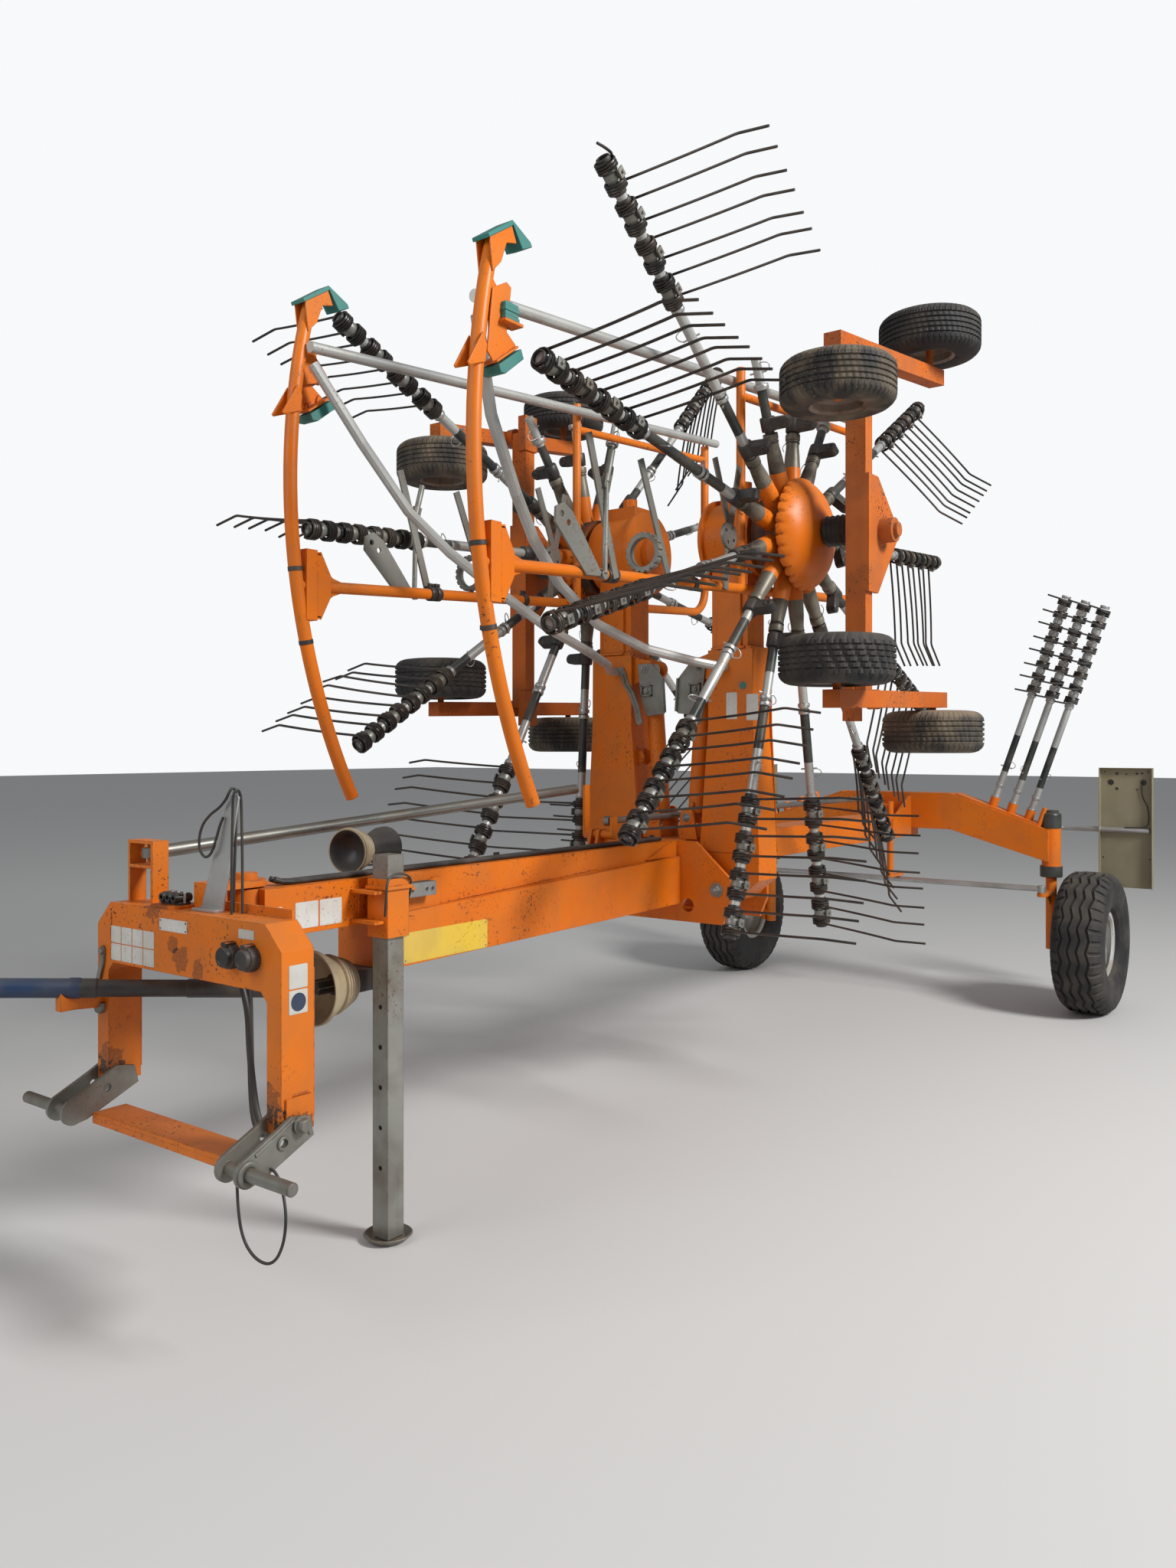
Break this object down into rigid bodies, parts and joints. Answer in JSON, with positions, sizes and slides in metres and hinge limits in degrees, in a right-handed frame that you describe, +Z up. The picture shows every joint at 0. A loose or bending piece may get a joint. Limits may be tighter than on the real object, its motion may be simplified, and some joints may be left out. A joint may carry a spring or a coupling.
{
  "type": "twin-rotor rotary hay rake",
  "caption": "Trailed rotary hay rake with tined rotors folded upright on lift arms, swivelling headstock, parking stand and steered rear wheels.",
  "frame": {"origin": "on the ground, under the middle of the machine's overall box", "axes": "+X forward to the hitch, +Y to the left, +Z up"},
  "size_m": [6.4884, 2.9, 3.8489],
  "materials": {
    "orange_paint": "weathered semi-gloss",
    "zinc": "dull galvanised",
    "black_steel": "worn satin black",
    "tyre_rubber": "matt, dusty",
    "rim_paint": "dull cream white",
    "bellows_rubber": "matt",
    "khaki_paint": "dull khaki",
    "guard_plastic": "faded beige"
  },
  "bodies": {
    "frame": {"main_beam": "orange_paint", "pivot_frame": "orange_paint", "axle_beam": "orange_paint", "spare_arms": "black_steel", "lamp_boards": "khaki_paint", "pto_guard": "guard_plastic", "beam_hoses": "bellows_rubber"},
    "stand": {"stand_leg": "black_steel"},
    "headstock": {"headstock": "orange_paint", "link_arms": "zinc", "pto_shaft": "black_steel", "blade": "zinc", "portal_hose_1": "bellows_rubber", "portal_hose_2": "bellows_rubber", "blade_cord_1": "bellows_rubber", "blade_cord_2": "bellows_rubber", "pin_cord": "bellows_rubber"},
    "front_steering_rod": {"steering_rod_front": "zinc"},
    "front_relay": {"relay_lever": "orange_paint"},
    "rear_steering_rod": {"steering_rod_rear": "zinc"},
    "rear_relay": {"rear_relay": "orange_paint"},
    "tie_rod": {"tie_rod": "zinc"},
    "knuckle_left": {"knuckle_left": "orange_paint"},
    "knuckle_right": {"knuckle_right": "orange_paint"},
    "wheel_left": {"rim_left": "rim_paint", "tyre_left": "tyre_rubber"},
    "wheel_right": {"rim_right": "rim_paint", "tyre_right": "tyre_rubber"},
    "lift_left": {"lift_arm_left": "orange_paint", "rotor_head_left": "orange_paint", "undercarriage_left": "orange_paint", "bellows_left": "bellows_rubber", "guard_left": "orange_paint", "pipes_left": "zinc", "braces_left": "zinc"},
    "ram_left": {"cylinder_left": "black_steel"},
    "ram_rod_left": {"piston_rod_left": "zinc"},
    "rotor_left": {"hub_left": "orange_paint", "tine_arms_left": "black_steel"},
    "rotor_wheel_left_1": {"wheel_left_1": "tyre_rubber"},
    "rotor_wheel_left_2": {"wheel_left_2": "tyre_rubber"},
    "rotor_wheel_left_3": {"wheel_left_3": "tyre_rubber"},
    "rotor_wheel_left_4": {"wheel_left_4": "tyre_rubber"},
    "lift_right": {"lift_arm_right": "orange_paint", "rotor_head_right": "orange_paint", "undercarriage_right": "orange_paint", "bellows_right": "bellows_rubber", "guard_right": "orange_paint", "pipes_right": "zinc", "braces_right": "zinc"},
    "ram_right": {"cylinder_right": "black_steel"},
    "ram_rod_right": {"piston_rod_right": "zinc"},
    "rotor_right": {"hub_right": "orange_paint", "tine_arms_right": "black_steel"},
    "rotor_wheel_right_1": {"wheel_right_1": "tyre_rubber"},
    "rotor_wheel_right_2": {"wheel_right_2": "tyre_rubber"},
    "rotor_wheel_right_3": {"wheel_right_3": "tyre_rubber"},
    "rotor_wheel_right_4": {"wheel_right_4": "tyre_rubber"}
  },
  "joints": [
    {"name": "stand_slide", "type": "slide", "parent": "frame", "child": "stand", "axis": [0, 0, 1], "range_m": [0, 0.45]},
    {"name": "headstock_swivel", "type": "hinge", "parent": "frame", "child": "headstock", "pos_m": [2.42581, 0, 1.09], "axis": [0, 0, 1], "range_deg": [-25, 25]},
    {"name": "front_rod_swing", "type": "hinge", "parent": "headstock", "child": "front_steering_rod", "pos_m": [2.55581, -0.3, 1.27], "axis": [0, 0, 1], "range_deg": [-30, 30]},
    {"name": "front_relay_tilt", "type": "hinge", "parent": "frame", "child": "front_relay", "pos_m": [0.52581, -0.125, 1.215], "axis": [0, 1, 0], "range_deg": [-42, 42]},
    {"name": "rear_rod_swing", "type": "hinge", "parent": "front_relay", "child": "rear_steering_rod", "pos_m": [0.52581, -0.01, 1.275], "axis": [0, 1, 0], "range_deg": [-42, 42]},
    {"name": "rear_relay_turn", "type": "hinge", "parent": "frame", "child": "rear_relay", "pos_m": [-2.42419, 0.07, 1], "axis": [0, 0, 1], "range_deg": [-32, 32]},
    {"name": "knuckle_left_steer", "type": "hinge", "parent": "frame", "child": "knuckle_left", "pos_m": [-2.77419, 0.96, 0.9], "axis": [0, 0, 1], "range_deg": [-25, 25]},
    {"name": "knuckle_right_steer", "type": "hinge", "parent": "frame", "child": "knuckle_right", "pos_m": [-2.77419, -0.96, 0.9], "axis": [0, 0, 1], "range_deg": [-25, 25]},
    {"name": "tie_rod_swing", "type": "hinge", "parent": "knuckle_left", "child": "tie_rod", "pos_m": [-2.57419, 0.96, 0.745], "axis": [0, 0, 1], "range_deg": [-25, 25]},
    {"name": "wheel_left_spin", "type": "hinge", "parent": "knuckle_left", "child": "wheel_left", "pos_m": [-2.77419, 1.19, 0.4225], "axis": [0, 1, 0], "continuous": true},
    {"name": "wheel_right_spin", "type": "hinge", "parent": "knuckle_right", "child": "wheel_right", "pos_m": [-2.77419, -1.19, 0.4225], "axis": [0, 1, 0], "continuous": true},
    {"name": "lift_left_fold", "type": "hinge", "parent": "frame", "child": "lift_left", "pos_m": [-0.03419, 0.31, 0.96], "axis": [-1, 0, 0], "range_deg": [0, 90]},
    {"name": "ram_left_tilt", "type": "hinge", "parent": "frame", "child": "ram_left", "pos_m": [-0.03419, 0.095, 1.27], "axis": [-1, 0, 0], "range_deg": [0, 95]},
    {"name": "ram_left_slide", "type": "slide", "parent": "ram_left", "child": "ram_rod_left", "axis": [0, 0.0755, 0.9971], "range_m": [0, 0.55]},
    {"name": "rotor_left_spin", "type": "hinge", "parent": "lift_left", "child": "rotor_left", "pos_m": [-0.07419, 0.56, 2.54], "axis": [0, 1, 0], "continuous": true},
    {"name": "rotor_wheel_left_1_spin", "type": "hinge", "parent": "lift_left", "child": "rotor_wheel_left_1", "pos_m": [0.48581, 1.047, 2.99], "axis": [0, 0, 1], "continuous": true},
    {"name": "rotor_wheel_left_2_spin", "type": "hinge", "parent": "lift_left", "child": "rotor_wheel_left_2", "pos_m": [-0.48419, 1.047, 3.44], "axis": [0, 0, 1], "continuous": true},
    {"name": "rotor_wheel_left_3_spin", "type": "hinge", "parent": "lift_left", "child": "rotor_wheel_left_3", "pos_m": [0.49581, 1.047, 1.93], "axis": [0, 0, 1], "continuous": true},
    {"name": "rotor_wheel_left_4_spin", "type": "hinge", "parent": "lift_left", "child": "rotor_wheel_left_4", "pos_m": [-0.52419, 1.047, 1.665], "axis": [0, 0, 1], "continuous": true},
    {"name": "lift_right_fold", "type": "hinge", "parent": "frame", "child": "lift_right", "pos_m": [-0.03419, -0.31, 0.96], "axis": [1, 0, 0], "range_deg": [0, 90]},
    {"name": "ram_right_tilt", "type": "hinge", "parent": "frame", "child": "ram_right", "pos_m": [-0.03419, -0.095, 1.27], "axis": [1, 0, 0], "range_deg": [0, 95]},
    {"name": "ram_right_slide", "type": "slide", "parent": "ram_right", "child": "ram_rod_right", "axis": [0, -0.0755, 0.9971], "range_m": [0, 0.55]},
    {"name": "rotor_right_spin", "type": "hinge", "parent": "lift_right", "child": "rotor_right", "pos_m": [-0.07419, -0.56, 2.54], "axis": [0, 1, 0], "continuous": true},
    {"name": "rotor_wheel_right_1_spin", "type": "hinge", "parent": "lift_right", "child": "rotor_wheel_right_1", "pos_m": [0.48581, -1.047, 2.99], "axis": [0, 0, 1], "continuous": true},
    {"name": "rotor_wheel_right_2_spin", "type": "hinge", "parent": "lift_right", "child": "rotor_wheel_right_2", "pos_m": [-0.48419, -1.047, 3.44], "axis": [0, 0, 1], "continuous": true},
    {"name": "rotor_wheel_right_3_spin", "type": "hinge", "parent": "lift_right", "child": "rotor_wheel_right_3", "pos_m": [0.49581, -1.047, 1.93], "axis": [0, 0, 1], "continuous": true},
    {"name": "rotor_wheel_right_4_spin", "type": "hinge", "parent": "lift_right", "child": "rotor_wheel_right_4", "pos_m": [-0.52419, -1.047, 1.665], "axis": [0, 0, 1], "continuous": true}
  ],
  "couplings": [
    {"joint": "front_rod_swing", "follows": "headstock_swivel", "ratio": -0.9375},
    {"joint": "front_relay_tilt", "follows": "headstock_swivel", "ratio": 1.508},
    {"joint": "rear_rod_swing", "follows": "headstock_swivel", "ratio": -1.508},
    {"joint": "rear_relay_turn", "follows": "headstock_swivel", "ratio": 1.131},
    {"joint": "knuckle_left_steer", "follows": "headstock_swivel", "ratio": -0.84825},
    {"joint": "knuckle_right_steer", "follows": "headstock_swivel", "ratio": -0.84825},
    {"joint": "tie_rod_swing", "follows": "headstock_swivel", "ratio": 0.84825},
    {"joint": "ram_left_tilt", "follows": "lift_left_fold", "ratio": 1.0284},
    {"joint": "ram_left_slide", "follows": "lift_left_fold", "m_per_rad": 0.33862},
    {"joint": "ram_right_tilt", "follows": "lift_right_fold", "ratio": 1.0284},
    {"joint": "ram_right_slide", "follows": "lift_right_fold", "m_per_rad": 0.33862}
  ]
}
